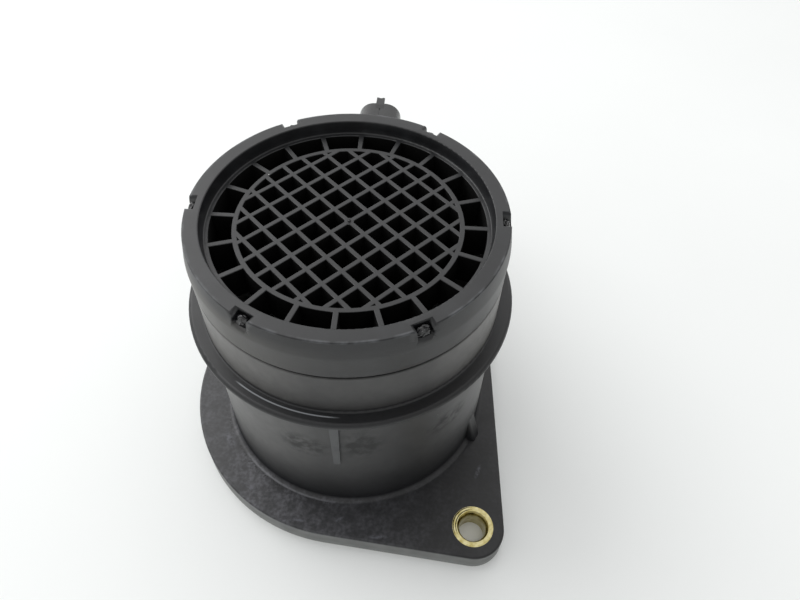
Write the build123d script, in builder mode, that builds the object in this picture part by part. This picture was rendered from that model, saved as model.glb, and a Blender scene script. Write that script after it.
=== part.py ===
from build123d import *

import os
from math import cos, radians, sin

# Mass airflow sensor: a moulded duct with a mounting flange, an inlet ring with its grille, and a
# sensor module that plugs into the back of the duct. Millimetres. The origin is on the mounting face,
# on the axis of the duct. +Z runs up to the grille and +Y back to the connector.

# ---------------------------------------------------------------- driving dimensions: duct and flange
duct_radius = 34.0
tube_wall = 4.1
total_height = 79.9  # mounting face to the top of the inlet rim
flange_thickness = 6.3
flange_reach = 10.5  # round edge of the flange, beyond the tube
flange_edge_round = 0.6
foot_round = 1.5  # between the tube and the flange
collar_reach = 3.4
collar_thickness = 2.1
collar_edge_round = 1.0
collar_root_round = 0.4
spigot_length = 13.5  # collar up to the inlet ring
neck_wall = 2.2

bolt_offset = 18.4  # outside of the tube to the middle of a bush
bolt_angle = -49.7  # of the front bush, from +X
lug_radius = 8.6
flat_lean = 3.0  # the right edge of the flange leans out towards the front lug
flat_corner_round = 6.0

bush_radius = 5.6
bush_bore_radius = 3.5
bush_lead_radius = 4.3
bush_lead_depth = 1.7
bush_groove_depth = 0.5
bush_groove_width = 1.6

flange_seal_offset = 4.4  # wall of the duct to the middle of the ring
flange_seal_width = 3.0
flange_seal_depth = 2.4
flange_seal_round = 0.5

rib_width = 2.3  # rib below the collar, opposite the module
rib_foot_width = 1.7
rib_rise = 0.9
rib_length = 22.0
gusset_angle = -23.0  # web between the tube and the right edge of the flange
gusset_thickness = 4.0
gusset_height = 10.0
gusset_reach = 2.8
gusset_edge_round = 0.8

# ---------------------------------------------------------------- driving dimensions: inlet ring
inlet_ring_height = 12.2  # rim down to the shoulder of the duct
skirt_wall = 1.5
skirt_gap = 0.6  # between the skirt's edge and the shoulder of the duct
bead_rise = 0.2  # the ring is widest at a low bead
bead_drop = 4.8  # from the rim down to the bead
bead_round = 6.0
rim_outer_inset = 0.7  # the wall leans in from the bead to the rim
rim_edge_round = 0.35
skirt_edge_round = 0.25
rim_thickness = 4.3  # rim down to its seat on the neck
rim_inset = 0.3  # edge of the rim, inside the duct wall
grille_drop = 3.4  # rim down to the face of the grille
recess_draft = 0.4
grille_thickness = 8.0  # deep enough to straighten the flow
grille_border = 1.1
grille_turn = 1.0  # spokes, mesh and pockets, from the plane of the module
spoke_count = 20
spoke_width = 1.25
inner_ring_radius = 27.0
inner_ring_width = 1.2
mesh_pitch = 5.5
mesh_bar_width = 1.1
mesh_bar_count = 9  # each way
hub_radius = 1.15
gate_radius = 0.4
gate_height = 0.35
ring_clearance = 0.1
pocket_count = 6
pocket_width = 3.8
pocket_depth = 3.0
pocket_margin = 0.1  # behind the lug
pocket_edge_round = 0.9
pocket_edge_lift = 0.03  # the edge meets the rim at a slight angle
pocket_floor_round = 0.3
stake_width = 2.4
stake_thickness = 0.8
stake_head_rise = 1.2
stake_head_spread = 0.7
stake_head_corner = 0.5
stake_head_taper = 20.0  # degrees

# ---------------------------------------------------------------- driving dimensions: sensor module
module_height = 29.4  # middle of the module
seat_reach = 6.9  # seat of the module, beyond the tube
plate_width = 26.0
plate_height = 39.0
plate_corner = 5.0
plate_thickness = 4.0
plate_edge_round = 0.8
ear_spacing = 33.0
ear_radius = 5.6
plug_width = 16.0
plug_height = 33.0
plug_corner = 5.0
plug_clearance = 0.1
plug_length = 12.0
finger_width = 12.4
finger_height = 30.0
finger_corner = 1.5
finger_reach = 10.0  # beyond the axis of the duct
module_seal_width = 2.5
module_seal_depth = 1.8
module_seal_setback = 3.0  # from the seat to the groove
module_seal_round = 0.5

root_width = 20.0
root_height = 33.0
root_corner = 4.0
root_length = 10.0
root_edge_round = 1.2
panel_inset = 3.0  # bare recessed panel on each side of the root
panel_depth = 0.5
shroud_width = 14.0
shroud_height = 26.0
shroud_corner = 5.2
shroud_rise = 10.7  # middle of the shroud, above the middle of the module
shroud_length = 33.0  # plate to the mouth of the shroud
shroud_wall = 1.9
shroud_mouth_round = 0.4
socket_depth = 19.0
nose_width = 2.7
nose_height = 0.2
nose_length = 1.2  # on the shroud
nose_ramp = 2.0  # rising to the nose
nose_reach = 2.8  # beyond the mouth
nose_thickness = 0.7  # at the tip
nose_notch_width = 1.1
nose_notch_depth = 0.25
parting_width = 0.4  # groove, from the nose to the root
parting_depth = 0.2
key_width = 2.0
key_height = 1.1

screw_thread_radius = 2.0
screw_hole_clearance = 0.2
screw_head_radius = 3.8
screw_head_height = 2.6
screw_head_round = 1.2
screw_socket_width = 3.2
screw_socket_depth = 1.5
screw_grip = 11.0
screw_point_length = 1.6
screw_point_radius = 0.7
screw_hole_spare = 0.6

# ---------------------------------------------------------------- driving dimensions: electronics
pin_count = 5
pin_thickness = 0.8
pin_width = 1.5
pin_pitch = 4.0
pin_bay_pitch = 4.2
pin_tip_setback = 6.0
pin_tip_chamfer = 0.25
pin_bend_margin = 2.0
pin_landing = 2.0

bay_height = 23.2
bay_wall = 1.7  # between the bay and the plug
bay_corner = 1.0
lid_thickness = 1.2
lid_lap = 1.2
lid_spacing = 1.8  # between the two lids

plate_margin = 0.6
carrier_thickness = 1.0
board_inset = 0.4
board_thickness = 0.7
pin_side_gap = 0.9
tongue_side_gap = 2.7

chip_size = 7.0
chip_thickness = 1.2
chip_chamfer = 0.25
capacitor_count = 6
capacitor_length = 2.0
capacitor_width = 1.2
capacitor_thickness = 1.0
capacitor_pitch = 3.2
capacitor_setback = 2.6

channel_floor_depth = 8.2  # measuring passage, from the side of the finger
channel_middle = -1.0
channel_mouth_width = 13.0
channel_throat_width = 7.0
channel_throat_length = 8.0
channel_lid_margin = 2.0

tongue_width = 7.0
tongue_thickness = 1.0
tongue_tip_gap = 0.9
tongue_root = 2.2
element_setback = 0.6  # from the tip of the tongue
element_length = 5.0
element_width = 3.0
element_thickness = 0.4

pocket_length = 12.0  # open pocket for the air temperature bead
pocket_span = 8.0
bead_pocket_depth = 3.2
bead_pocket_offset = 8.0
bead_pocket_setback = 13.0  # end of the plug to the middle of the pocket
bead_radius = 1.1
bead_half_length = 1.6
lead_radius = 0.25
lead_grip = 1.2
lead_bury = 0.8

wire_radius = 0.13
wire_rise = 0.9
wire_foot_setback = 0.8
tongue_wire_count = 3
tongue_wire_pitch = 1.75

# ---------------------------------------------------------------- worked-out sizes: duct
tube_radius = duct_radius + tube_wall
flange_radius = tube_radius + flange_reach
collar_radius = tube_radius + collar_reach
joint_height = total_height - inlet_ring_height
collar_height = joint_height - spigot_length
collar_foot = collar_height - collar_thickness
neck_radius = duct_radius + neck_wall
skirt_inner_radius = neck_radius + ring_clearance
skirt_radius = skirt_inner_radius + skirt_wall
bead_radius_outer = skirt_radius + bead_rise
neck_top = total_height - rim_thickness
bolt_radius = tube_radius + bolt_offset
lug_x = bolt_radius * cos(radians(bolt_angle))
lug_y = bolt_radius * sin(radians(bolt_angle))
flat_x = lug_x * cos(radians(flat_lean)) + lug_y * sin(radians(flat_lean)) + lug_radius
cut_size = 4 * flange_radius
rib_top = collar_foot
pocket_floor = total_height - pocket_depth
pocket_inner_radius = neck_radius - stake_thickness - pocket_margin
pocket_reach = bead_radius_outer - pocket_inner_radius
flange_seal_radius = duct_radius + flange_seal_offset

# ---------------------------------------------------------------- worked-out sizes: inlet ring
grille_face = total_height - grille_drop
grille_foot = grille_face - grille_thickness
rim_inner_radius = duct_radius - rim_inset
recess_foot_radius = rim_inner_radius - recess_draft
grille_edge_radius = duct_radius - ring_clearance
spoke_outer_radius = recess_foot_radius - grille_border
rim_outer_radius = bead_radius_outer - rim_outer_inset
skirt_foot = joint_height + skirt_gap

# ---------------------------------------------------------------- worked-out sizes: sensor module
seat_distance = tube_radius + seat_reach
plate_face = seat_distance + plate_thickness
plug_end = seat_distance - plug_length
root_face = plate_face + root_length
shroud_mouth = plate_face + shroud_length
shroud_middle = module_height + shroud_rise
shroud_top = shroud_middle + shroud_height / 2
socket_floor = shroud_mouth - socket_depth
finger_side = finger_width / 2
bay_floor = -pin_thickness / 2
bay_back = plug_end - bay_wall
channel_lid_back = channel_middle + channel_mouth_width / 2 + channel_lid_margin
bay_front = channel_lid_back + lid_spacing + lid_lap
bay_length = bay_back - bay_front
bay_middle = (bay_back + bay_front) / 2
lid_underside = finger_side - lid_thickness
pilot_depth = screw_grip + screw_hole_spare
screw_length = screw_grip + plate_thickness

pin_landing_face = bay_floor + pin_thickness
carrier_face = bay_floor + carrier_thickness
board_face = carrier_face + board_thickness
carrier_back = bay_back - pin_landing - pin_side_gap
carrier_front = bay_front + tongue_side_gap
carrier_height = bay_height - 2 * plate_margin
board_back = carrier_back - board_inset
board_front = carrier_front + board_inset
board_height = carrier_height - 2 * board_inset

channel_floor = finger_side - channel_floor_depth
channel_tip = channel_middle - channel_throat_width / 2
tongue_face = board_face
tongue_floor = tongue_face - tongue_thickness
tongue_tip = channel_tip + tongue_tip_gap
tongue_back = bay_front + tongue_root
element_middle = tongue_tip + element_setback + element_length / 2

bead_pocket_middle = plug_end - bead_pocket_setback
bead_pocket_floor = -finger_side + bead_pocket_depth
bead_x = (bead_pocket_floor - finger_side) / 2
bead_z = module_height + bead_pocket_offset
pin_offsets = [index - (pin_count - 1) / 2 for index in range(pin_count)]

os.makedirs("parts", exist_ok=True)


def outward(distance, height=0.0):
    """Plane square to +Y at a distance from the axis, seen from behind, with its local Y up."""
    return Plane(origin=(0, distance, height), x_dir=(-1, 0, 0), z_dir=(0, 1, 0))


def keep(builder, name):
    """Label a finished piece and write it to its own file."""
    builder.part.label = name
    export_step(builder.part, f"parts/{name}.step")


def pin_outline(offset):
    """Side view of one pin, on the YZ plane: straight in the socket, cranked down, straight in the bay."""
    socket_z = shroud_middle + offset * pin_pitch
    bay_z = module_height + offset * pin_bay_pitch
    half = pin_width / 2
    stations = [
        (shroud_mouth - pin_tip_setback, socket_z),
        (socket_floor - pin_bend_margin, socket_z),
        (plate_face + pin_bend_margin, bay_z),
        (bay_back - pin_landing, bay_z),
    ]
    upper = [(y, z + half) for y, z in stations]
    lower = [(y, z - half) for y, z in reversed(stations)]
    return upper + lower


def bush_outline():
    """Half section of a bush's outside, on the XZ plane: a sleeve with a groove that the moulding fills."""
    groove_low = (flange_thickness - bush_groove_width) / 2
    groove_high = (flange_thickness + bush_groove_width) / 2
    return [
        (0, 0),
        (bush_radius, 0),
        (bush_radius, groove_low),
        (bush_radius - bush_groove_depth, groove_low),
        (bush_radius - bush_groove_depth, groove_high),
        (bush_radius, groove_high),
        (bush_radius, flange_thickness),
        (0, flange_thickness),
    ]


# ---------------------------------------------------------------- outline shared by the module and its seat
with BuildSketch() as seat_outline:
    RectangleRounded(plate_width, plate_height, plate_corner)
    with GridLocations(ear_spacing, 1, 2, 1):
        Circle(ear_radius)
    make_hull()

# ---------------------------------------------------------------- connector pins
pins = []
for index, offset in enumerate(pin_offsets):
    with BuildPart() as connector_pin:
        with BuildSketch(Plane.YZ.offset(bay_floor)):
            with BuildLine():
                Polyline(pin_outline(offset), close=True)
            make_face()
        extrude(amount=pin_thickness)
        tip_edges = connector_pin.faces().sort_by(Axis.Y)[-1].edges()
        chamfer(tip_edges, pin_tip_chamfer)
    pins.append(connector_pin.part)
    keep(connector_pin, f"connector_pin_{index + 1}")

# ---------------------------------------------------------------- brass bushes in the flange
bush_places = {"bolt_bush_front": (lug_x, lug_y), "bolt_bush_rear": (-lug_x, -lug_y)}
bush_fillings = []
for name, (x, y) in bush_places.items():
    section_plane = Plane(origin=(x, y, 0), x_dir=(1, 0, 0), z_dir=(0, -1, 0))
    bush_axis = Axis((x, y, 0), (0, 0, 1))
    with BuildPart() as filling:
        with BuildSketch(section_plane):
            with BuildLine():
                Polyline(bush_outline(), close=True)
            make_face()
        revolve(axis=bush_axis)
    bush_fillings.append(filling.part)
    with BuildPart() as bush:
        add(filling.part)
        with BuildSketch(section_plane):
            with BuildLine():
                lead_foot = (bush_bore_radius, flange_thickness - bush_lead_depth)
                lead_mouth = (bush_lead_radius, flange_thickness)
                Polyline((0, flange_thickness), (0, 0), (bush_bore_radius, 0), lead_foot)
                RadiusArc(lead_foot, lead_mouth, 2 * bush_lead_depth)
                Line(lead_mouth, (0, flange_thickness))
            make_face()
        revolve(axis=bush_axis, mode=Mode.SUBTRACT)
    keep(bush, name)

# ---------------------------------------------------------------- seal in the mounting face
with BuildPart() as flange_seal:
    with BuildSketch():
        Circle(flange_seal_radius + flange_seal_width / 2)
        Circle(flange_seal_radius - flange_seal_width / 2, mode=Mode.SUBTRACT)
    extrude(amount=flange_seal_depth)
    fillet(flange_seal.edges().group_by(Axis.Z)[0], flange_seal_round)
keep(flange_seal, "flange_seal")

# ---------------------------------------------------------------- web from the tube to the flange
with BuildPart() as web:
    web_direction = (cos(radians(gusset_angle)), sin(radians(gusset_angle)), 0)
    web_normal = (sin(radians(gusset_angle)), -cos(radians(gusset_angle)), 0)
    with BuildSketch(Plane(origin=(0, 0, 0), x_dir=web_direction, z_dir=web_normal)):
        with BuildLine():
            Polyline(
                (tube_radius - tube_wall / 2, flange_thickness / 2),
                (tube_radius + gusset_reach, flange_thickness / 2),
                (tube_radius + gusset_reach, flange_thickness),
                (tube_radius, flange_thickness + gusset_height),
                (tube_radius - tube_wall / 2, flange_thickness + gusset_height),
                close=True,
            )
        make_face()
    extrude(amount=gusset_thickness / 2, both=True)
    fillet(web.edges().sort_by(SortBy.LENGTH)[-4:-2], gusset_edge_round)

# ---------------------------------------------------------------- housing: duct, flange, collar and seat
with BuildPart() as housing:
    # flange plate: round, with two tangent lugs and one straight side
    with BuildSketch() as flange_outline:
        Circle(flange_radius)
        with Locations(Location((0, 0, 0), (0, 0, flat_lean))):
            with Locations((flat_x + cut_size / 2, 0)):
                Rectangle(cut_size, cut_size, mode=Mode.SUBTRACT)
        with Locations((lug_x, lug_y), (-lug_x, -lug_y)):
            Circle(lug_radius)
        make_hull()
        flat_corner = flange_outline.vertices().sort_by_distance((flat_x, flange_radius / 2))[0]
        fillet(flat_corner, flat_corner_round)
    extrude(amount=flange_thickness)
    fillet(housing.edges().group_by(Axis.Z)[-1], flange_edge_round)

    # tube, collar, spigot and neck, turned about the axis
    with BuildSketch(Plane.XZ):
        with BuildLine():
            FilletPolyline(
                (0, 0),
                (tube_radius + 2 * foot_round, 0),
                (tube_radius + 2 * foot_round, flange_thickness),
                (tube_radius, flange_thickness),
                (tube_radius, collar_foot),
                (collar_radius, collar_foot),
                (collar_radius, collar_height),
                (skirt_radius, collar_height),
                (skirt_radius, joint_height),
                (neck_radius, joint_height),
                (neck_radius, neck_top),
                (0, neck_top),
                radius=[
                    0,
                    0,
                    foot_round,
                    collar_root_round,
                    collar_edge_round,
                    collar_edge_round,
                    collar_root_round,
                    rim_edge_round,
                    0,
                    0,
                ],
            )
            Line((0, neck_top), (0, 0))
        make_face()
    revolve(axis=Axis.Z)

    # lugs that pass through the inlet ring and are pressed over in its pockets
    with BuildSketch(Plane.XY.offset(neck_top)):
        with PolarLocations(neck_radius - stake_thickness / 2, pocket_count, grille_turn):
            Rectangle(stake_thickness, stake_width)
    extrude(amount=pocket_floor - neck_top)
    with BuildSketch(Plane.XY.offset(pocket_floor)):
        head_middle = neck_radius - stake_thickness / 2 + stake_head_spread / 2
        with PolarLocations(head_middle, pocket_count, grille_turn):
            head_length = stake_thickness + stake_head_spread
            RectangleRounded(head_length, stake_width + stake_head_spread, stake_head_corner)
    extrude(amount=stake_head_rise, taper=stake_head_taper)

    # seat for the sensor module
    with BuildSketch(outward(seat_distance, module_height)):
        add(seat_outline.sketch)
    extrude(amount=-(seat_distance - duct_radius / 2))

    # small rib below the collar, and the web
    with BuildSketch(Plane.XZ.offset(tube_radius + rib_rise)):
        with BuildLine():
            Polyline(
                (-rib_width / 2, rib_top),
                (-rib_foot_width / 2, rib_top - rib_length),
                (rib_foot_width / 2, rib_top - rib_length),
                (rib_width / 2, rib_top),
                close=True,
            )
        make_face()
    extrude(amount=-(rib_rise + tube_wall / 2))
    add(web.part)

    # bore of the duct, opening for the module and holes
    with BuildSketch():
        Circle(duct_radius)
    extrude(amount=total_height, mode=Mode.SUBTRACT)
    opening_width = plug_width + 2 * plug_clearance
    opening_height = plug_height + 2 * plug_clearance
    with BuildSketch(outward(seat_distance, module_height)):
        RectangleRounded(opening_width, opening_height, plug_corner + plug_clearance)
    extrude(amount=-(seat_distance - duct_radius / 2), mode=Mode.SUBTRACT)
    with Locations(outward(seat_distance, module_height)):
        with GridLocations(ear_spacing, 1, 2, 1):
            Hole(screw_thread_radius, depth=pilot_depth)
    with BuildSketch():
        Circle(flange_seal_radius + flange_seal_width / 2)
        Circle(flange_seal_radius - flange_seal_width / 2, mode=Mode.SUBTRACT)
    extrude(amount=flange_seal_depth, mode=Mode.SUBTRACT)
    for bush_filling in bush_fillings:
        add(bush_filling, mode=Mode.SUBTRACT)
keep(housing, "housing")

# ---------------------------------------------------------------- space cut from the rim for one lug
with BuildPart() as pocket_space:
    pocket_plane = Plane(origin=(pocket_inner_radius, 0, 0), x_dir=(0, 1, 0), z_dir=(1, 0, 0))
    with BuildSketch(pocket_plane):
        half_width = pocket_width / 2
        half_mouth = half_width + 2 * pocket_edge_round
        mouth_height = total_height + pocket_edge_lift
        with BuildLine():
            FilletPolyline(
                (-half_mouth, mouth_height),
                (-half_width, mouth_height),
                (-half_width, pocket_floor),
                (half_width, pocket_floor),
                (half_width, mouth_height),
                (half_mouth, mouth_height),
                (half_mouth, mouth_height + pocket_depth),
                (-half_mouth, mouth_height + pocket_depth),
                radius=[
                    0,
                    pocket_edge_round,
                    pocket_floor_round,
                    pocket_floor_round,
                    pocket_edge_round,
                    0,
                    0,
                    0,
                ],
                close=True,
            )
        make_face()
    extrude(amount=2 * pocket_reach)

# ---------------------------------------------------------------- inlet ring with its grille
with BuildPart() as inlet_grille:
    with BuildSketch(Plane.XZ):
        with BuildLine():
            FilletPolyline(
                (spoke_outer_radius, grille_face),
                (recess_foot_radius, grille_face),
                (rim_inner_radius, total_height),
                (rim_outer_radius, total_height),
                (bead_radius_outer, total_height - bead_drop),
                (skirt_radius, skirt_foot),
                (skirt_inner_radius, skirt_foot),
                (skirt_inner_radius, neck_top),
                (grille_edge_radius, neck_top),
                (grille_edge_radius, grille_foot),
                (spoke_outer_radius, grille_foot),
                radius=[
                    0,
                    rim_edge_round,
                    rim_edge_round,
                    rim_edge_round,
                    bead_round,
                    skirt_edge_round,
                    0,
                    0,
                    0,
                    0,
                    0,
                ],
                close=True,
            )
        make_face()
    revolve(axis=Axis.Z)

    # grille: spokes, inner ring and diagonal mesh
    with BuildSketch(Plane.XY.offset(grille_foot)):
        spoke_length = spoke_outer_radius - inner_ring_radius + inner_ring_width
        spoke_middle = spoke_outer_radius - spoke_length / 2 + grille_border / 2
        with PolarLocations(spoke_middle, spoke_count, grille_turn):
            Rectangle(spoke_length, spoke_width)
        Circle(inner_ring_radius)
        Circle(inner_ring_radius - inner_ring_width, mode=Mode.SUBTRACT)
    extrude(amount=grille_thickness)
    with BuildSketch(Plane.XY.offset(grille_foot)):
        for turn in (45, -45):
            with Locations(Location((0, 0, 0), (0, 0, turn + grille_turn))):
                with GridLocations(1, mesh_pitch, 1, mesh_bar_count):
                    Rectangle(2 * inner_ring_radius, mesh_bar_width)
        Circle(hub_radius)
        Circle(inner_ring_radius - inner_ring_width / 2, mode=Mode.INTERSECT)
    extrude(amount=grille_thickness)
    with BuildSketch(Plane.XY.offset(grille_face)):
        Circle(gate_radius)
    extrude(amount=gate_height)

    # pockets in the rim, each with the window that its lug passes through
    with PolarLocations(0, pocket_count, grille_turn):
        add(pocket_space.part, mode=Mode.SUBTRACT)
    with BuildSketch(Plane.XY.offset(neck_top)):
        with PolarLocations(neck_radius - stake_thickness / 2, pocket_count, grille_turn):
            Rectangle(stake_thickness + 2 * ring_clearance, stake_width + 2 * ring_clearance)
    extrude(amount=pocket_floor - neck_top, mode=Mode.SUBTRACT)
keep(inlet_grille, "inlet_grille")

# ---------------------------------------------------------------- leads and bead of the air thermometer
lead_places = [-1, 1]
with BuildPart() as air_temperature_leads:
    for side in lead_places:
        inner_end = bead_pocket_middle + side * (bead_half_length - lead_bury)
        with BuildSketch(outward(inner_end)):
            with Locations((-bead_x, bead_z)):
                Circle(lead_radius)
        extrude(amount=side * (pocket_length / 2 + lead_grip - bead_half_length + lead_bury))
keep(air_temperature_leads, "air_temperature_leads")

with BuildPart() as air_temperature_bead:
    bead_plane = Plane(origin=(bead_x, bead_pocket_middle, bead_z), x_dir=(0, 1, 0), z_dir=(0, 0, 1))
    with BuildSketch(bead_plane):
        Ellipse(bead_half_length, bead_radius)
        with Locations((0, -bead_radius)):
            Rectangle(4 * bead_half_length, 2 * bead_radius, mode=Mode.SUBTRACT)
    revolve(axis=Axis((bead_x, bead_pocket_middle, bead_z), (0, 1, 0)))
    add(air_temperature_leads.part, mode=Mode.SUBTRACT)
keep(air_temperature_bead, "air_temperature_bead")

# ---------------------------------------------------------------- outer shapes of the module's connector
root_start = plate_face - plate_thickness / 2
with BuildPart() as root_block:
    with BuildSketch(outward(root_start, module_height)):
        RectangleRounded(root_width, root_height, root_corner)
    extrude(amount=root_face - root_start)
    fillet(root_block.edges().group_by(Axis.Y)[-1], root_edge_round)
    # bare recessed panel on each side
    panel_length = root_length - 2 * panel_inset
    panel_height = root_height - 2 * root_corner - 2 * panel_inset
    panel_y = plate_face + root_length / 2
    with Locations((-root_width / 2, panel_y, module_height), (root_width / 2, panel_y, module_height)):
        Box(2 * panel_depth, panel_length, panel_height, mode=Mode.SUBTRACT)

nose_back = shroud_mouth - nose_length
nose_foot = nose_back - nose_ramp
nose_tip = shroud_mouth + nose_reach
nose_top = shroud_top + nose_height
nose_root = shroud_top - shroud_wall / 2
with BuildPart() as shroud:
    with BuildSketch(outward(root_start, shroud_middle)):
        RectangleRounded(shroud_width, shroud_height, shroud_corner)
    extrude(amount=shroud_mouth - root_start)
    fillet(shroud.edges().group_by(Axis.Y)[-1], shroud_mouth_round)
    # locking nose, notched at its tip, and the groove behind it
    with BuildSketch(Plane.YZ):
        with BuildLine():
            Polyline(
                (nose_foot, nose_root),
                (nose_foot, shroud_top),
                (nose_back, nose_top),
                (nose_tip, nose_top),
                (nose_tip, nose_top - nose_thickness),
                (shroud_mouth - shroud_mouth_round, nose_root),
                close=True,
            )
        make_face()
    extrude(amount=nose_width / 2, both=True)
    with Locations((0, nose_tip, nose_top)):
        Box(nose_notch_width, 2 * nose_notch_depth, 4 * nose_thickness, mode=Mode.SUBTRACT)
    with Locations((0, (nose_foot + root_face) / 2, shroud_top)):
        Box(parting_width, nose_foot - root_face, 2 * parting_depth, mode=Mode.SUBTRACT)

# ---------------------------------------------------------------- module body: plate, finger and connector
with BuildPart() as module_body:
    # plate with its ears, plug and finger
    with BuildSketch(outward(seat_distance, module_height)):
        add(seat_outline.sketch)
    extrude(amount=plate_thickness)
    fillet(module_body.edges().group_by(Axis.Y)[-1], plate_edge_round)
    with BuildSketch(outward(plug_end, module_height)):
        RectangleRounded(plug_width, plug_height, plug_corner)
    extrude(amount=plug_length + plate_thickness / 2)
    with BuildSketch(outward(-finger_reach, module_height)):
        RectangleRounded(finger_width, finger_height, finger_corner)
    extrude(amount=finger_reach + plug_end)

    # groove for the seal
    with BuildSketch(outward(seat_distance - module_seal_setback, module_height)):
        RectangleRounded(plug_width, plug_height, plug_corner)
        groove_width = plug_width - 2 * module_seal_depth
        groove_height = plug_height - 2 * module_seal_depth
        RectangleRounded(
            groove_width, groove_height, plug_corner - module_seal_depth, mode=Mode.SUBTRACT
        )
    extrude(amount=-module_seal_width, mode=Mode.SUBTRACT)

    # root block, shroud with its nose and groove, then the socket with its key
    add(root_block.part)
    add(shroud.part)
    with BuildSketch(outward(socket_floor, shroud_middle)):
        socket_width = shroud_width - 2 * shroud_wall
        socket_height = shroud_height - 2 * shroud_wall
        RectangleRounded(socket_width, socket_height, shroud_corner - shroud_wall)
        with Locations((0, -socket_height / 2)):
            Rectangle(key_width, 2 * key_height, mode=Mode.SUBTRACT)
    extrude(amount=socket_depth, mode=Mode.SUBTRACT)

    # electronics bay with its lid recess, measuring passage with its lid recess
    with BuildSketch(Plane.YZ.offset(bay_floor)):
        with Locations((bay_middle, module_height)):
            RectangleRounded(bay_length, bay_height, bay_corner)
    extrude(amount=finger_side - bay_floor, mode=Mode.SUBTRACT)
    with BuildSketch(Plane.YZ.offset(lid_underside)):
        with Locations((bay_middle, module_height)):
            RectangleRounded(bay_length + 2 * lid_lap, bay_height + 2 * lid_lap, bay_corner + lid_lap)
    extrude(amount=lid_thickness, mode=Mode.SUBTRACT)
    with BuildSketch(Plane.YZ.offset(channel_floor)):
        with BuildLine():
            mouth = channel_mouth_width / 2
            throat = channel_throat_width / 2
            rise = finger_height / 2
            Polyline(
                (channel_middle - mouth, module_height - rise),
                (channel_middle + mouth, module_height - rise),
                (channel_middle + throat, module_height - channel_throat_length / 2),
                (channel_middle + throat, module_height + channel_throat_length / 2),
                (channel_middle + mouth, module_height + rise),
                (channel_middle - mouth, module_height + rise),
                (channel_middle - throat, module_height + channel_throat_length / 2),
                (channel_middle - throat, module_height - channel_throat_length / 2),
                close=True,
            )
        make_face()
    extrude(amount=channel_floor_depth, mode=Mode.SUBTRACT)
    with Locations((lid_underside, -finger_reach, module_height)):
        Box(
            lid_thickness,
            channel_lid_back + finger_reach,
            finger_height,
            align=(Align.MIN, Align.MIN, Align.CENTER),
            mode=Mode.SUBTRACT,
        )

    # window for the tongue, pocket for the temperature bead, channels of the leads and pins
    with Locations((tongue_floor, channel_middle, module_height)):
        Box(
            tongue_thickness,
            bay_front - channel_middle,
            tongue_width,
            align=(Align.MIN, Align.MIN, Align.CENTER),
            mode=Mode.SUBTRACT,
        )
    with Locations((-finger_side, bead_pocket_middle, bead_z)):
        Box(2 * bead_pocket_depth, pocket_length, pocket_span, mode=Mode.SUBTRACT)
    add(air_temperature_leads.part, mode=Mode.SUBTRACT)
    for pin in pins:
        add(pin, mode=Mode.SUBTRACT)

    # holes for the screws
    with Locations(outward(plate_face, module_height)):
        with GridLocations(ear_spacing, 1, 2, 1):
            Hole(screw_thread_radius + screw_hole_clearance, depth=plate_thickness)
keep(module_body, "module_body")

with BuildPart() as module_seal:
    with BuildSketch(outward(seat_distance - module_seal_setback, module_height)):
        RectangleRounded(opening_width, opening_height, plug_corner + plug_clearance)
        RectangleRounded(
            groove_width, groove_height, plug_corner - module_seal_depth, mode=Mode.SUBTRACT
        )
    extrude(amount=-module_seal_width)
    seal_ends = module_seal.faces().sort_by(Axis.Y)
    outer_edges = seal_ends[0].outer_wire().edges() + seal_ends[-1].outer_wire().edges()
    fillet(outer_edges, module_seal_round)
keep(module_seal, "module_seal")

# ---------------------------------------------------------------- screws through the ears
for name, side in {"module_screw_left": 1, "module_screw_right": -1}.items():
    with BuildPart() as screw:
        screw_plane = Plane(
            origin=(-side * ear_spacing / 2, plate_face, module_height), x_dir=(1, 0, 0), z_dir=(0, 0, 1)
        )
        with BuildSketch(screw_plane):
            with BuildLine():
                FilletPolyline(
                    (0, screw_head_height),
                    (screw_head_radius, screw_head_height),
                    (screw_head_radius, 0),
                    (screw_thread_radius, 0),
                    (screw_thread_radius, screw_point_length - screw_length),
                    (screw_point_radius, -screw_length),
                    (0, -screw_length),
                    radius=[screw_head_round, 0, 0, 0, 0],
                )
                Line((0, -screw_length), (0, screw_head_height))
            make_face()
        revolve(axis=Axis(screw_plane.origin, (0, 1, 0)))
        with BuildSketch(outward(plate_face + screw_head_height, module_height)):
            with Locations((side * ear_spacing / 2, 0)):
                RegularPolygon(screw_socket_width / 2, 6, major_radius=False)
        extrude(amount=-screw_socket_depth, mode=Mode.SUBTRACT)
    keep(screw, name)

# ---------------------------------------------------------------- lids of the module
with BuildPart() as electronics_cover:
    with BuildSketch(Plane.YZ.offset(lid_underside)):
        with Locations((bay_middle, module_height)):
            RectangleRounded(bay_length + 2 * lid_lap, bay_height + 2 * lid_lap, bay_corner + lid_lap)
    extrude(amount=lid_thickness)
keep(electronics_cover, "electronics_cover")

with BuildPart() as bypass_cover:
    with Locations((lid_underside, -finger_reach, module_height)):
        Box(
            lid_thickness,
            channel_lid_back + finger_reach,
            finger_height,
            align=(Align.MIN, Align.MIN, Align.CENTER),
        )
    with BuildSketch(outward(-finger_reach, module_height)):
        RectangleRounded(finger_width, finger_height, finger_corner)
    extrude(amount=channel_lid_back + finger_reach, mode=Mode.INTERSECT)
keep(bypass_cover, "bypass_cover")

# ---------------------------------------------------------------- carrier plate, board and its chips
with BuildPart() as carrier_plate:
    with Locations((bay_floor, carrier_front, module_height)):
        Box(
            carrier_thickness,
            carrier_back - carrier_front,
            carrier_height,
            align=(Align.MIN, Align.MIN, Align.CENTER),
        )
    chamfer(carrier_plate.edges().filter_by(Axis.X), bay_corner)
keep(carrier_plate, "carrier_plate")

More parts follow.
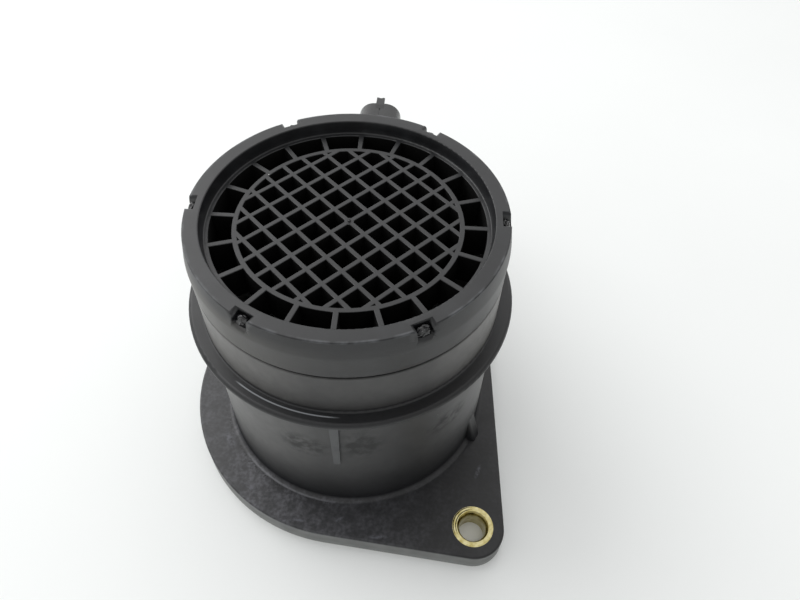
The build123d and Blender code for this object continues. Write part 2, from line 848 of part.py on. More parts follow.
with BuildPart() as circuit_board:
    with Locations((carrier_face, board_front, module_height)):
        Box(
            board_thickness,
            board_back - board_front,
            board_height,
            align=(Align.MIN, Align.MIN, Align.CENTER),
        )
    chamfer(circuit_board.edges().filter_by(Axis.X), bay_corner)
keep(circuit_board, "circuit_board")

board_middle = (board_front + board_back) / 2
with BuildPart() as signal_chip:
    with Locations((board_face, board_middle, module_height)):
        Box(chip_thickness, chip_size, chip_size, align=(Align.MIN, Align.CENTER, Align.CENTER))
    chamfer(signal_chip.faces().sort_by(Axis.X)[-1].edges(), chip_chamfer)
keep(signal_chip, "signal_chip")

capacitor_plane = Plane(
    origin=(board_face, board_middle, module_height), x_dir=(0, 1, 0), z_dir=(1, 0, 0)
)
with BuildPart() as board_capacitors:
    row_spacing = board_height - 2 * capacitor_setback
    with BuildSketch(capacitor_plane):
        with GridLocations(capacitor_pitch, row_spacing, capacitor_count // 2, 2):
            Rectangle(capacitor_length, capacitor_width)
    extrude(amount=capacitor_thickness)
keep(board_capacitors, "board_capacitors")

# ---------------------------------------------------------------- tongue and heated film element
with BuildPart() as sensor_holder:
    with Locations((tongue_floor, tongue_tip, module_height)):
        Box(
            tongue_thickness,
            tongue_back - tongue_tip,
            tongue_width,
            align=(Align.MIN, Align.MIN, Align.CENTER),
        )
    with Locations((tongue_face, element_middle, module_height)):
        Box(2 * element_thickness, element_length, element_width, mode=Mode.SUBTRACT)
keep(sensor_holder, "sensor_holder")

with BuildPart() as sensing_element:
    with Locations((tongue_face - element_thickness, element_middle, module_height)):
        Box(
            element_thickness,
            element_length,
            element_width,
            align=(Align.MIN, Align.CENTER, Align.CENTER),
        )
keep(sensing_element, "sensing_element")

# ---------------------------------------------------------------- bond wires: pins to board, tongue to board
wire_runs = []
for offset in pin_offsets:
    wire_z = module_height + offset * pin_bay_pitch
    pin_end = (pin_landing_face, bay_back - pin_landing / 2)
    board_end = (board_face, board_back - wire_foot_setback)
    wire_runs.append((pin_end, board_end, wire_z))
for index in range(tongue_wire_count):
    wire_z = module_height + (index - (tongue_wire_count - 1) / 2) * tongue_wire_pitch
    tongue_end = (tongue_face, tongue_back - wire_foot_setback)
    board_end = (board_face, board_front + wire_foot_setback)
    wire_runs.append((tongue_end, board_end, wire_z))
wire_top = board_face + wire_rise
with BuildPart() as bond_wires:
    for (start_x, start_y), (end_x, end_y), wire_z in wire_runs:
        with BuildLine() as wire_path:
            Polyline(
                (start_x, start_y, wire_z),
                (wire_top, start_y, wire_z),
                (wire_top, end_y, wire_z),
                (end_x, end_y, wire_z),
            )
        with BuildSketch(Plane(origin=wire_path.line @ 0, z_dir=wire_path.line % 0)):
            Circle(wire_radius)
        sweep(path=wire_path.line, transition=Transition.RIGHT)
keep(bond_wires, "bond_wires")
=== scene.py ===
from math import pi, radians

import bmesh
import bpy
from mathutils import Matrix, Vector, noise


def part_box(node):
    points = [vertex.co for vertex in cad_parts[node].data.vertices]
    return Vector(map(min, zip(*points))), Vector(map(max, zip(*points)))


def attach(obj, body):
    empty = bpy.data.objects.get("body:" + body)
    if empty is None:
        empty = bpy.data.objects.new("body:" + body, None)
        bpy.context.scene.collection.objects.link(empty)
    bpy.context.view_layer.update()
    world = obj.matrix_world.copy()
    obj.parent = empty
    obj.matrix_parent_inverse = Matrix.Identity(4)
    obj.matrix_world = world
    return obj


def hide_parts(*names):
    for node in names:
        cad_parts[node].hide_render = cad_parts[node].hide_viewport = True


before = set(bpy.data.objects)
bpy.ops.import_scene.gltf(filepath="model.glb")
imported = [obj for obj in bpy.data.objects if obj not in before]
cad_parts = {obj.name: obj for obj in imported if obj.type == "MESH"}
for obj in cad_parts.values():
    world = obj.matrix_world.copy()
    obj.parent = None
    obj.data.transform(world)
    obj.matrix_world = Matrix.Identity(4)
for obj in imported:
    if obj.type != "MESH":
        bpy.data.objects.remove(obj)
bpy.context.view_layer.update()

# Mass airflow sensor. Metres, in the frame of the construction: the origin is on the mounting face, on the
# axis of the duct, +Z runs up to the grille and +Y back to the connector.

MM = 0.001

# ---------------------------------------------------------------- sizes
RIM_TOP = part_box("inlet_grille")[1].z
GRILLE_TOP = RIM_TOP - 3.4 * MM
SHOULDER = RIM_TOP - 12.2 * MM  # of the duct, under the inlet ring
COLLAR_TOP = RIM_TOP - 25.7 * MM
COLLAR_FOOT = RIM_TOP - 27.8 * MM
FLANGE_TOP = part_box("bolt_bush_front")[1].z
TUBE_RADIUS = 38.1 * MM  # outside of the tube
GRILLE_REACH = 32.6 * MM  # outside of its spokes
GRILLE_ROUNDING = 0.16 * MM  # of the upper edges of its bars
SHADE_DEPTH = 0.25 * MM  # below the grille's top, where its painted shade starts
SHADE_OVERLAP = 0.2 * MM  # past the grille's reach, so the outer walls of its openings have painted shade too
LEVEL_GAP = 0.05 * MM  # how far off the grille's top a point may lie and still be on it
FLAT_LIMIT = radians(0.3)  # faces that meet at less than this are joined
SMOOTH_LIMIT = radians(35)
MERGE_DISTANCE = 0.001 * MM
POCKET_COUNT = 6
POCKET_TURN = radians(1.0)
LUG_RADIUS = 36.25 * MM  # middle of each pressed-over lug, from the axis
LUMP_HEIGHT = RIM_TOP - 2.4 * MM
LUMP_HALF_SIZE = Vector((1.05, 1.8, 1.5)) * MM
FOLD_SCALE = 1.3  # folds in a radius of the lump
FOLD_DEPTH = 0.24  # of the lump's radius
FOLD_STEP = Vector((3.1, 0, 0))  # from one lump's pattern to the next, so no two are alike
FOLD_CREASES = (0.9, 2.0, 3, 1.0, 2.0)  # the noise's exponent, lacunarity, octaves, offset and gain

# Scuffs on top of the flange, in mm: place, turn in degrees, half length, half width and size of its streaks.
FLANGE_SCUFFS = [
    ((-35, -23), -50, (3.5, 1.4), 0.9),
    ((-26, -37), -30, (3.2, 0.7), 0.8),
    ((-11, -45), -8, (2.4, 0.6), 0.8),
    ((0, -44), 35, (1.8, 0.5), 0.7),
    ((11, -48), 5, (3.0, 0.7), 0.9),
    ((38, -27), 70, (2.6, 0.7), 0.8),
]
SCUFF_HALF_DEPTH = 2  # in mm

# Greasy smears on the lower tube, in mm, with the depth below the rim as their third number: to the left of
# the rib, close on its right, and further round.
TUBE_SMEARS = [
    ((-8, -37, 44), -12, (8, 6, 6), 2.4),
    ((6, -37.5, 41.5), 10, (7, 6, 8), 2.6),
    ((27, -27, 44.5), 45, (8, 6, 5), 2.2),
]

# ================================================================ materials


def linear(hex_colour):
    """An sRGB hex colour as linear red, green, blue and alpha."""
    channels = [int(hex_colour[i : i + 2], 16) / 255 for i in (1, 3, 5)]
    return [c / 12.92 if c <= 0.04045 else ((c + 0.055) / 1.055) ** 2.4 for c in channels] + [1.0]


def add(tree, kind, inputs=None, **settings):
    """Add a node of a kind, with its settings, and set or link its inputs."""
    node = tree.nodes.new("ShaderNode" + kind)
    for name, value in settings.items():
        setattr(node, name, value)
    for name, value in (inputs or {}).items():
        if isinstance(value, bpy.types.NodeSocket):
            tree.links.new(value, node.inputs[name])
        else:
            node.inputs[name].default_value = value
    return node


def start_material(name, **shader_inputs):
    """A material with a Principled shader set from plain values, and its object coordinates."""
    material = bpy.data.materials.new(name)
    material.use_nodes = True
    tree = material.node_tree
    tree.nodes.clear()
    shader = add(tree, "BsdfPrincipled")
    for socket, value in shader_inputs.items():
        shader.inputs[socket.replace("_", " ")].default_value = value
    add(tree, "OutputMaterial", {"Surface": shader.outputs["BSDF"]})
    place = add(tree, "TexCoord").outputs["Object"]
    return material, tree, shader, place


def connect(tree, shader, **outputs):
    """Link outputs to the shader's sockets of the same names."""
    for socket, output in outputs.items():
        tree.links.new(output, shader.inputs[socket.replace("_", " ")])


def patches(tree, place, size, low, high, detail=4.0, least=0.0, most=1.0):
    """A mask of soft patches of about a size in metres: least where the cloud is low, most where it's high."""
    cloud = add(tree, "TexNoise", {"Vector": place, "Scale": 1 / size, "Detail": detail})
    limits = {"From Min": low, "From Max": high, "To Min": least, "To Max": most}
    return add(tree, "MapRange", {"Value": cloud.outputs["Fac"], **limits}).outputs["Result"]


def overlap(tree, *masks):
    """Where several masks meet: all of them multiplied."""
    shared = masks[0]
    for mask in masks[1:]:
        shared = add(tree, "Math", {0: shared, 1: mask}, operation="MULTIPLY").outputs["Value"]
    return shared


def zone(tree, *ramps):
    """A mask of one zone. Each ramp is a coordinate, its value where the zone starts and where it is full."""
    masks = []
    for value, start, full in ramps:
        ramp = add(tree, "MapRange", {"Value": value, "From Min": start, "From Max": full})
        masks.append(ramp.outputs["Result"])
    return overlap(tree, *masks)


def coat(tree, under, over, *masks):
    """A colour, in hex, laid over what is under it where all the masks meet."""
    mixed = add(tree, "Mix", {0: overlap(tree, *masks), 6: under, 7: linear(over)}, data_type="RGBA")
    return mixed.outputs[2]


def position(tree, place):
    """A point's x, y and z, and its distance from the axis of the duct."""
    spot = add(tree, "SeparateXYZ", {"Vector": place}).outputs
    flat = add(tree, "CombineXYZ", {"X": spot["X"], "Y": spot["Y"]})
    reach = add(tree, "VectorMath", {0: flat.outputs["Vector"]}, operation="LENGTH")
    return spot["X"], spot["Y"], spot["Z"], reach.outputs["Value"]


def smear(tree, place, centre, turn, half_sizes, streak):
    """A soft oval mask, turned by degrees about +Z and broken up by patches of the streak's size."""
    oval_place = {"Location": centre, "Rotation": (0, 0, radians(turn)), "Scale": half_sizes}
    moved = add(tree, "Mapping", {"Vector": place, **oval_place}, vector_type="TEXTURE")
    oval = add(tree, "TexGradient", {"Vector": moved.outputs["Vector"]}, gradient_type="SPHERICAL")
    soft = zone(tree, (oval.outputs["Fac"], 0.0, 0.55))
    return overlap(tree, soft, patches(tree, place, streak, 0.38, 0.6))


def grain(tree, place, size, height):
    """The fine texture that a mould or a tool leaves, as a bump of a grain size and height in metres."""
    cloud = add(tree, "TexNoise", {"Vector": place, "Scale": 1 / size, "Detail": 2.0})
    bump = add(tree, "Bump", {"Height": cloud.outputs["Fac"], "Distance": height, "Strength": 1.0})
    return bump.outputs["Normal"]


def dust(tree, place, spacing, size):
    """A mask of sparse round specks: about one for each spacing cubed, of a size in metres."""
    cells = add(tree, "TexVoronoi", {"Vector": place, "Scale": 1 / spacing})
    near = zone(tree, (cells.outputs["Distance"], size / spacing, 0.6 * size / spacing))
    keep = add(tree, "SeparateColor", {"Color": cells.outputs["Color"]}).outputs["Red"]
    return overlap(tree, near, zone(tree, (keep, 0.62, 0.64)))


def moulded_nylon(name, colour, worn_colour, roughness):
    """Glass-filled nylon, injection moulded: near-black, satin, cloudy where the fibre lies at the skin."""
    material, tree, shader, place = start_material(name, IOR=1.53)
    clouds = patches(tree, place, 14 * MM, 0.35, 0.7)
    fine = patches(tree, place, 1.2 * MM, 0.3, 0.75)
    colour_now = coat(tree, linear(colour), worn_colour, clouds, fine)
    dull_limits = {"To Min": roughness, "To Max": roughness + 0.07}
    dull = add(tree, "MapRange", {"Value": clouds, **dull_limits}).outputs["Result"]
    connect(tree, shader, Normal=grain(tree, place, 0.45 * MM, 0.012 * MM))
    return material, tree, shader, place, colour_now, dull


def housing_nylon():
    """The duct's own moulding: satin black with dusty walls, greasy smears and a bloomed, scuffed flange, with
    painted light and shade on its walls, collar, rib and flange.
    """
    material, tree, shader, place, colour, dull = moulded_nylon(
        "nylon_glass_filled_moulded_black", "#121315", "#1d1e21", 0.42
    )
    across, along, height, reach = position(tree, place)

    # a film of dust on the walls, with painted light in it: paler towards the left and the right sides, where
    # the light falls on them
    fine = patches(tree, place, 2.5 * MM, 0.3, 0.7, detail=6.0, least=0.75)
    on_tube = zone(
        tree,
        (height, FLANGE_TOP + 1.5 * MM, FLANGE_TOP + 20 * MM),
        (height, COLLAR_FOOT, COLLAR_FOOT - 1.5 * MM),
    )
    on_spigot = zone(
        tree,
        (height, COLLAR_TOP + 0.1 * MM, COLLAR_TOP + 1.4 * MM),
        (height, SHOULDER + 1.4 * MM, SHOULDER + 1 * MM),
    )
    for wall, front_share, right_share, film in (
        (on_tube, 0.18, 0.45, "#747473"),
        (on_spigot, 0.22, 0.8, "#7a7977"),
    ):
        left_limits = {"From Min": -4 * MM, "From Max": -34 * MM, "To Min": front_share}
        right_limits = {"From Min": 20 * MM, "From Max": 38 * MM, "To Max": right_share}
        left = add(tree, "MapRange", {"Value": across, **left_limits}).outputs["Result"]
        right = add(tree, "MapRange", {"Value": across, **right_limits}).outputs["Result"]
        dust_and_painted_light = add(tree, "Math", {0: left, 1: right}, operation="ADD").outputs["Value"]
        colour = coat(tree, colour, film, dust_and_painted_light, wall, fine)

    # the flange: painted shade darkens its right end, and a grey bloom in small blotches, with painted light
    # in it, grows paler towards the left; its far left end is darker
    on_flange = zone(tree, (height, FLANGE_TOP + 1.1 * MM, FLANGE_TOP + 0.1 * MM))
    # painted shade: the right end of the flange darker
    colour = coat(tree, colour, "#08080a", on_flange, zone(tree, (across, 12 * MM, 30 * MM)))
    # partly bloom, partly painted light: paler towards the left
    bloom_and_light_limits = {"From Min": 34 * MM, "From Max": -30 * MM, "To Min": 0.1}
    to_left = add(tree, "MapRange", {"Value": across, **bloom_and_light_limits}).outputs["Result"]
    blotches = patches(tree, place, 4 * MM, 0.38, 0.62, detail=9.0, least=0.3)
    speckle = patches(tree, place, 1.0 * MM, 0.34, 0.66, least=0.25)
    colour = coat(tree, colour, "#56565b", on_flange, to_left, blotches, speckle)
    colour = coat(tree, colour, "#18191b", on_flange, zone(tree, (across, -27 * MM, -38 * MM)), 0.55)

    # the edge and the underside of the flange, handled until they are matt and grey, palest at the foot
    handled = zone(tree, (height, FLANGE_TOP - 0.3 * MM, FLANGE_TOP - 0.9 * MM))
    worn = patches(tree, place, 6 * MM, 0.3, 0.65, detail=6.0, least=0.5, most=0.8)
    foot_limits = {"From Min": 2.5 * MM, "From Max": 0.0, "To Max": 0.35}
    foot = add(tree, "MapRange", {"Value": height, **foot_limits}).outputs["Result"]
    pale = add(tree, "Math", {0: worn, 1: foot}, operation="ADD").outputs["Value"]
    colour = coat(tree, colour, "#808280", handled, pale)
    dull = add(tree, "MapRange", {"Value": handled, "To Min": dull, "To Max": 0.55}).outputs["Result"]

    # light scuffs on the flange, each a few millimetres long
    for (x, y), turn, (length, width), streak in FLANGE_SCUFFS:
        centre = (x * MM, y * MM, FLANGE_TOP)
        half_sizes = Vector((length, width, SCUFF_HALF_DEPTH)) * MM
        scuff = smear(tree, place, centre, turn, half_sizes, streak * MM)
        colour = coat(tree, colour, "#6b6c75", scuff, 0.4)

    # a painted highlight along the fillet where the tube meets the flange, on the left, and dark specks just
    # outside it
    root = zone(
        tree,
        (across, 4 * MM, -8 * MM),
        (along, -8 * MM, -16 * MM),
        (height, FLANGE_TOP + 1.6 * MM, FLANGE_TOP + 1.2 * MM),
    )
    painted_fillet_highlight = zone(
        tree,
        (reach, TUBE_RADIUS + 0.9 * MM, TUBE_RADIUS + 1.25 * MM),
        (reach, TUBE_RADIUS + 1.7 * MM, TUBE_RADIUS + 1.35 * MM),
        (along, -26 * MM, -30 * MM),
    )
    colour = coat(tree, colour, "#6d6e72", painted_fillet_highlight, root, patches(tree, place, 1.6 * MM, 0.3, 0.45), 0.6)
    dark_specks = zone(
        tree,
        (reach, TUBE_RADIUS + 3.4 * MM, TUBE_RADIUS + 1.8 * MM),
        (reach, TUBE_RADIUS + 1.5 * MM, TUBE_RADIUS + 1.8 * MM),
    )
    colour = coat(tree, colour, "#030303", dark_specks, root, patches(tree, place, 0.8 * MM, 0.52, 0.6))

    # a painted highlight: a thin bright line on the fillet round the front of the collar, close to the spigot
    collar_root_highlight = zone(
        tree,
        (reach, 38.95 * MM, 39.1 * MM),
        (reach, 39.4 * MM, 39.25 * MM),
        (height, COLLAR_TOP - 0.4 * MM, COLLAR_TOP - 0.2 * MM),
        (height, COLLAR_TOP + 1 * MM, COLLAR_TOP + 0.8 * MM),
        (across, 2 * MM, -1 * MM),
        (along, -31.5 * MM, -32.5 * MM),
    )
    colour = coat(tree, colour, "#8f9296", collar_root_highlight)

    # painted shade: the collar darker on the front right
    painted_shade_front_right = zone(
        tree,
        (reach, 38.4 * MM, 38.8 * MM),
        (height, COLLAR_FOOT - 0.2 * MM, COLLAR_FOOT),
        (across, 8 * MM, 20 * MM),
        (along, -10 * MM, -20 * MM),
    )
    colour = coat(tree, colour, "#060607", painted_shade_front_right, 0.8)

    # painted light: the rib's face painted a lighter, dull grey, as the lit face of a raised rib
    rib_painted_light = zone(
        tree,
        (reach, TUBE_RADIUS + 0.35 * MM, TUBE_RADIUS + 0.6 * MM),
        (height, COLLAR_FOOT, COLLAR_FOOT - 1 * MM),
        (height, FLANGE_TOP + 15 * MM, FLANGE_TOP + 17 * MM),
    )
    colour = coat(tree, colour, "#4b4d4f", rib_painted_light, 0.7)

    for (x, y, drop), turn, half_sizes, streak in TUBE_SMEARS:
        centre = (x * MM, y * MM, RIM_TOP - drop * MM)
        grease = smear(tree, place, centre, turn, Vector(half_sizes) * MM, streak * MM)
        colour = coat(tree, colour, "#0d0d0e", grease, 0.75)
        dull = add(tree, "Math", {0: grease, 1: 0.16, 2: dull}, operation="MULTIPLY_ADD").outputs["Value"]

    colour = coat(tree, colour, "#d8d8d4", dust(tree, place, 9 * MM, 0.16 * MM))
    connect(tree, shader, Base_Color=colour, Roughness=dull)
    return material


def ring_nylon():
    """The inlet ring's moulding: a little greyer, bloomed and rubbed on the rim, dusty on the skirt, with
    painted light on the skirt's left.
    """
    material, tree, shader, place, colour, dull = moulded_nylon(
        "nylon_glass_filled_moulded_charcoal", "#141517", "#1e1f21", 0.38
    )
    bloom = patches(tree, place, 6 * MM, 0.45, 0.7, detail=6.0)
    colour = coat(tree, colour, "#2a2c2f", bloom, 0.3)
    across, _, height, reach = position(tree, place)
    # dust on the wall of the skirt, with painted light in it: paler towards its left, where the light falls
    skirt = zone(tree, (reach, 37.0 * MM, 37.3 * MM), (height, RIM_TOP - 2 * MM, RIM_TOP - 4 * MM))
    dust_and_light_limits = {"From Min": 0.0, "From Max": -34 * MM, "To Min": 0.05, "To Max": 0.6}
    film = add(tree, "MapRange", {"Value": across, **dust_and_light_limits}).outputs["Result"]
    colour = coat(tree, colour, "#5a5853", skirt, film)
    # the rim's outer edge, rubbed pale in short lengths
    edge = zone(tree, (reach, 36.6 * MM, 36.9 * MM), (height, RIM_TOP - 0.45 * MM, RIM_TOP - 0.2 * MM))
    rubbed = patches(tree, place, 5 * MM, 0.46, 0.62, detail=6.0)
    colour = coat(tree, colour, "#75787c", edge, rubbed, 0.3)
    colour = coat(tree, colour, "#d8d8d4", dust(tree, place, 7 * MM, 0.15 * MM))
    connect(tree, shader, Base_Color=colour, Roughness=dull)
    return material


def grille_wall_shade():
    """Painted shade on the walls of the grille's openings: dead black, so the openings show no walls."""
    material, tree, shader, place = start_material("painted_shade_grille_walls", IOR=1.25, Roughness=0.9)
    thick = patches(tree, place, 1.5 * MM, 0.3, 0.7)
    connect(tree, shader, Base_Color=coat(tree, linear("#040404"), "#0a0a09", thick))
    return material


def module_polyester():
    """Glass-filled polyester, injection moulded: the same black, a little shinier and cleaner."""
    material, tree, shader, place, colour, dull = moulded_nylon(
        "polyester_glass_filled_moulded_black", "#141516", "#1b1c1e", 0.22
    )
    connect(tree, shader, Base_Color=colour, Roughness=dull)
    return material


def melted_nylon():
    """Nylon remelted by a hot tool: glossy and folded, so it glints."""
    material, tree, shader, place = start_material(
        "nylon_glass_filled_hot_pressed", Base_Color=linear("#131315"), IOR=1.53, Roughness=0.16
    )
    connect(tree, shader, Normal=grain(tree, place, 0.8 * MM, 0.06 * MM))
    return material


def turned_brass(name, centre):
    """Brass, turned on a lathe about a centre: dull gold with fine rings, browner where it has tarnished."""
    material, tree, shader, place = start_material(name, Metallic=1.0, Roughness=0.14)
    moved = add(tree, "Mapping", {"Vector": place, "Location": centre}, vector_type="TEXTURE")
    # tool marks drawn 2.2 mm apart, coarser than real ones, so that they show
    rings = add(
        tree,
        "TexWave",
        {"Vector": moved.outputs["Vector"], "Scale": 1 / (2.2 * MM), "Distortion": 0.6},
        wave_type="RINGS",
        rings_direction="Z",
    )
    turned = add(tree, "Bump", {"Height": rings.outputs["Fac"], "Distance": 0.02 * MM, "Strength": 1.0})
    tarnish = patches(tree, place, 1.6 * MM, 0.4, 0.7)
    colour = coat(tree, linear("#c0b78c"), "#9c8f55", tarnish)
    connect(tree, shader, Base_Color=colour, Normal=turned.outputs["Normal"])
    return material


def moulded_rubber():
    """Nitrile rubber, compression moulded: matt black with a faint bloom."""
    material, tree, shader, place = start_material("nitrile_rubber_moulded", IOR=1.52)
    bloom = patches(tree, place, 4 * MM, 0.4, 0.7)
    colour = coat(tree, linear("#151515"), "#222221", bloom)
    dull = add(tree, "MapRange", {"Value": bloom, "To Min": 0.55, "To Max": 0.75}).outputs["Result"]
    bumpy = grain(tree, place, 0.6 * MM, 0.01 * MM)
    connect(tree, shader, Base_Color=colour, Roughness=dull, Normal=bumpy)
    return material


def metal(name, colour, dark_colour, roughness, patch, grain_size, grain_height):
    """A bare or plated metal, its tone in patches, over a fine grain. The last three sizes are in mm."""
    material, tree, shader, place = start_material(name, Metallic=1.0)
    worn = patches(tree, place, patch * MM, 0.35, 0.7)
    dull_limits = {"To Min": roughness, "To Max": roughness + 0.12}
    dull = add(tree, "MapRange", {"Value": worn, **dull_limits}).outputs["Result"]
    tone = coat(tree, linear(colour), dark_colour, worn)
    bumpy = grain(tree, place, grain_size * MM, grain_height * MM)
    connect(tree, shader, Base_Color=tone, Roughness=dull, Normal=bumpy)
    return material


def fired_ceramic(name, colour, dark_colour):
    """A fired, unglazed ceramic: pale, dense and dull, with a faint grain."""
    material, tree, shader, place = start_material(name, IOR=1.7, Roughness=0.45)
    worn = patches(tree, place, 1.5 * MM, 0.35, 0.7)
    tone = coat(tree, linear(colour), dark_colour, worn)
    connect(tree, shader, Base_Color=tone, Normal=grain(tree, place, 0.3 * MM, 0.005 * MM))
    return material


def moulded_epoxy():
    """Epoxy, transfer moulded round the chip: dead matt and near black."""
    material, tree, shader, place = start_material("epoxy_moulded_black", IOR=1.55, Roughness=0.6)
    tone = coat(tree, linear("#161616"), "#202021", patches(tree, place, 0.9 * MM, 0.35, 0.7))
    connect(tree, shader, Base_Color=tone, Normal=grain(tree, place, 0.2 * MM, 0.006 * MM))
    return material


def coated_silicon():
    """Silicon, polished and coated with a thin glass: dark with a violet film and a mirror finish."""
    material, tree, shader, place = start_material("silicon_polished_coated", IOR=2.0, Roughness=0.12)
    film = patches(tree, place, 1.4 * MM, 0.3, 0.7)
    connect(tree, shader, Base_Color=coat(tree, linear("#3b3550"), "#54506a", film))
    return material


def bead_glass():
    """Lead glass, fused over a thermistor: a dark red-brown drop with a wet shine."""
    material, tree, shader, place = start_material("glass_fused_brown", IOR=1.6, Roughness=0.08)
    cloud = patches(tree, place, 1.0 * MM, 0.35, 0.7)
    connect(tree, shader, Base_Color=coat(tree, linear("#4a1f12"), "#6a3320", cloud))
    return material


# ================================================================ pieces


def on_grille_face(vert):
    """Whether a point lies on the grille's upper face."""
    return abs(vert.co.z - GRILLE_TOP) < LEVEL_GAP and vert.co.xy.length < GRILLE_REACH


def rounded_grille():
    """The inlet ring with the upper edges of its spokes, rings and mesh rounded."""
    shape = bmesh.new()
    shape.from_mesh(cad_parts["inlet_grille"].data)
    bmesh.ops.remove_doubles(shape, verts=shape.verts, dist=MERGE_DISTANCE)
    flat_verts = [vert for vert in shape.verts if on_grille_face(vert)]
    flat_edges = [edge for edge in shape.edges if all(map(on_grille_face, edge.verts))]
    bmesh.ops.dissolve_limit(shape, angle_limit=FLAT_LIMIT, verts=flat_verts, edges=flat_edges)
    sharp = [
        edge
        for edge in shape.edges
        if edge.calc_face_angle(0) > SMOOTH_LIMIT and all(map(on_grille_face, edge.verts))
    ]
    bmesh.ops.bevel(
        shape, geom=sharp, offset=GRILLE_ROUNDING, segments=2, profile=0.5, affect="EDGES", material=-1
    )
    return shape


def pressed_lugs():
    """The lugs that hold the inlet ring, folded over by a hot tool: a creased lump in each pocket."""
    shape = bmesh.new()
    for index in range(POCKET_COUNT):
        angle = POCKET_TURN + index * 2 * pi / POCKET_COUNT
        lump = bmesh.ops.create_icosphere(shape, subdivisions=4, radius=1.0)["verts"]
        for vert in lump:
            spot = vert.co * FOLD_SCALE + index * FOLD_STEP
            fold = noise.ridged_multi_fractal(spot, *FOLD_CREASES)
            vert.co *= 1 + FOLD_DEPTH * (fold - 1)
        bmesh.ops.scale(shape, vec=LUMP_HALF_SIZE, verts=lump)
        bmesh.ops.translate(shape, vec=Vector((LUG_RADIUS, 0, LUMP_HEIGHT)), verts=lump)
        bmesh.ops.rotate(shape, cent=Vector(), matrix=Matrix.Rotation(angle, 3, "Z"), verts=lump)
    return shape


def finish_piece(name, shape, material, slot, *nodes):
    """Make a piece from a bmesh, in place, smooth but for its sharp edges, and let it ride on the part."""
    mesh = bpy.data.meshes.new(name)
    shape.to_mesh(mesh)
    shape.free()
    mesh.shade_smooth()
    mesh.set_sharp_from_angle(angle=SMOOTH_LIMIT)
    mesh.materials.append(material)
    piece = bpy.data.objects.new(name, mesh)
    piece.modifiers.new("even_shading", "WEIGHTED_NORMAL").keep_sharp = True
    bpy.context.scene.collection.objects.link(piece)
    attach(piece, "root")
    if nodes:
        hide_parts(*nodes)
    return piece


grille = finish_piece("inlet_ring_moulding", rounded_grille(), ring_nylon(), "inlet_black", "inlet_grille")
# the walls deep in the grille's openings take a second material: painted shade, dead black
grille.data.materials.append(grille_wall_shade())
for face in grille.data.polygons:
    below = face.center.z < GRILLE_TOP - SHADE_DEPTH
    if below and face.center.xy.length < GRILLE_REACH + SHADE_OVERLAP:
        face.material_index = 1
finish_piece("pressed_lugs", pressed_lugs(), melted_nylon(), "housing_black")

# The nodes of the construction that keep their shape, with their finishes.
polyester = module_polyester()
rubber = moulded_rubber()
zinc = metal("steel_zinc_plated", "#b9b7ae", "#98968c", 0.26, 2.5, 0.5, 0.006)
tin = metal("copper_alloy_tin_plated", "#cfccc4", "#b5b1a6", 0.22, 1.5, 0.4, 0.004)
finishes = {
    "housing": housing_nylon(),
    "module_body": polyester,
    "electronics_cover": polyester,
    "bypass_cover": polyester,
    "sensor_holder": polyester,
    "flange_seal": rubber,
    "module_seal": rubber,
    "module_screw_left": zinc,
    "module_screw_right": zinc,
    "carrier_plate": metal("aluminium_stamped", "#c9cacc", "#b4b5b8", 0.3, 3.0, 0.4, 0.006),
    "circuit_board": fired_ceramic("alumina_fired", "#dcdbd2", "#cfcdc2"),
    "signal_chip": moulded_epoxy(),
    "board_capacitors": fired_ceramic("titanate_fired", "#9c7f60", "#85694d"),
    "sensing_element": coated_silicon(),
    "air_temperature_bead": bead_glass(),
    "air_temperature_leads": tin,
    "bond_wires": metal("aluminium_wire_drawn", "#d2d3d6", "#bdbec2", 0.25, 0.8, 0.3, 0.003),
}
for bush in ("bolt_bush_front", "bolt_bush_rear"):
    low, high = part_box(bush)
    finishes[bush] = turned_brass("brass_turned_" + bush, (low + high) / 2)
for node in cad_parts:
    if node.startswith("connector_pin"):
        finishes[node] = tin
for node, finish in finishes.items():
    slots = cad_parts[node].data.materials
    slots.clear()
    slots.append(finish)

# ================================================================ floor, light and camera
FLOOR_SIZE = 1.8
LAMP_SIZE = 0.9
LAMP_POWER = 4.4  # watts
LAMP_PLACE = Vector((-0.70, 0.44, 0.80))
TENT_BRIGHT_SIDE = Vector((-0.45, 0.72, 0.52))
TENT_BRIGHT = 1.36
TENT_DIM = 0.55
TENT_DIM_FROM = -0.1  # cosine of the angle from the bright side, where the tent is at its dimmest
TENT_BRIGHT_FROM = 0.95  # the same, where it is at its brightest


def floor_laminate():
    """White laminate, pressed: pale and faintly uneven."""
    material, tree, shader, place = start_material("laminate_pressed_white", IOR=1.5, Roughness=0.6)
    cloud = patches(tree, place, 180 * MM, 0.3, 0.7)
    connect(tree, shader, Base_Color=coat(tree, linear("#eceeed"), "#f0f2f1", cloud))
    return material


floor_shape = bmesh.new()
bmesh.ops.create_grid(floor_shape, x_segments=1, y_segments=1, size=FLOOR_SIZE / 2)
floor_mesh = bpy.data.meshes.new("table_top")
floor_shape.to_mesh(floor_mesh)
floor_shape.free()
floor_mesh.materials.append(floor_laminate())
table_top = bpy.data.objects.new("table_top", floor_mesh)
bpy.context.scene.collection.objects.link(table_top)

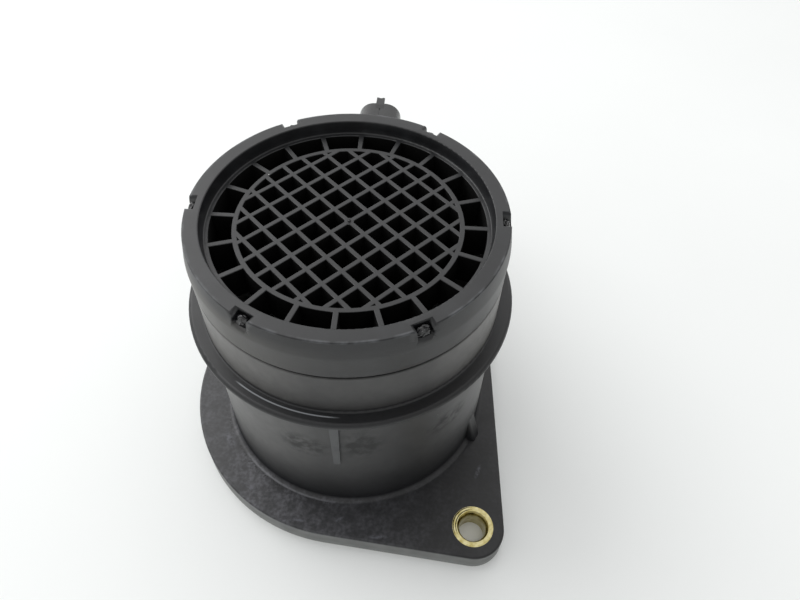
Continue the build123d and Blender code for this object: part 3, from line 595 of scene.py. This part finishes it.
lamp_data = bpy.data.lights.new("back_softbox", "AREA")
lamp_data.shape = "DISK"
lamp_data.size = LAMP_SIZE
lamp_data.energy = LAMP_POWER
lamp = bpy.data.objects.new("back_softbox", lamp_data)
bpy.context.scene.collection.objects.link(lamp)
lamp.matrix_world = Matrix.Translation(LAMP_PLACE) @ LAMP_PLACE.to_track_quat("Z", "Y").to_matrix().to_4x4()

# A light tent, brightest behind the part on its left and dimmest in front, where the camera stands.
world = bpy.data.worlds.new("light_tent")
world.use_nodes = True
tree = world.node_tree
tree.nodes.clear()
toward = add(tree, "TexCoord").outputs["Generated"]
facing = add(tree, "VectorMath", {0: toward, 1: TENT_BRIGHT_SIDE.normalized()}, operation="DOT_PRODUCT")
level = add(
    tree,
    "MapRange",
    {
        "Value": facing.outputs["Value"],
        "From Min": TENT_DIM_FROM,
        "From Max": TENT_BRIGHT_FROM,
        "To Min": TENT_DIM,
        "To Max": TENT_BRIGHT,
    },
    interpolation_type="SMOOTHSTEP",
)
tent = add(tree, "Background", {"Color": linear("#ffffff"), "Strength": level.outputs["Result"]})
add(tree, "OutputWorld", {"Surface": tent.outputs["Background"]})
bpy.context.scene.world = world

# The camera stands in front and above, close to the part, turned and tilted as a hand holds it.
CAMERA_PLACE = Vector((16.94, -109.43, 103.26)) * MM + Vector((0, 0, RIM_TOP))
CAMERA_YAW = radians(-2.297)  # to the right of +Y
CAMERA_PITCH = 0.8869  # downwards
CAMERA_ROLL = 0.0389  # clockwise
CAMERA_FOCUS = 653.989  # in pixels of the picture
PICTURE_WIDTH = 800
SENSOR_WIDTH = 36.0  # in mm, as the lens is
NEAR_CLIP = 0.01

camera_data = bpy.data.cameras.new("camera")
camera_data.sensor_width = SENSOR_WIDTH
camera_data.lens = CAMERA_FOCUS / PICTURE_WIDTH * SENSOR_WIDTH
camera_data.clip_start = NEAR_CLIP
camera = bpy.data.objects.new("camera", camera_data)
bpy.context.scene.collection.objects.link(camera)
turn = (
    Matrix.Rotation(-CAMERA_YAW, 4, "Z")
    @ Matrix.Rotation(pi / 2 - CAMERA_PITCH, 4, "X")
    @ Matrix.Rotation(CAMERA_ROLL, 4, "Z")
)
camera.matrix_world = Matrix.Translation(CAMERA_PLACE) @ turn
bpy.context.scene.camera = camera

bpy.context.scene.view_settings.view_transform = "Standard"

bpy.context.view_layer.update()
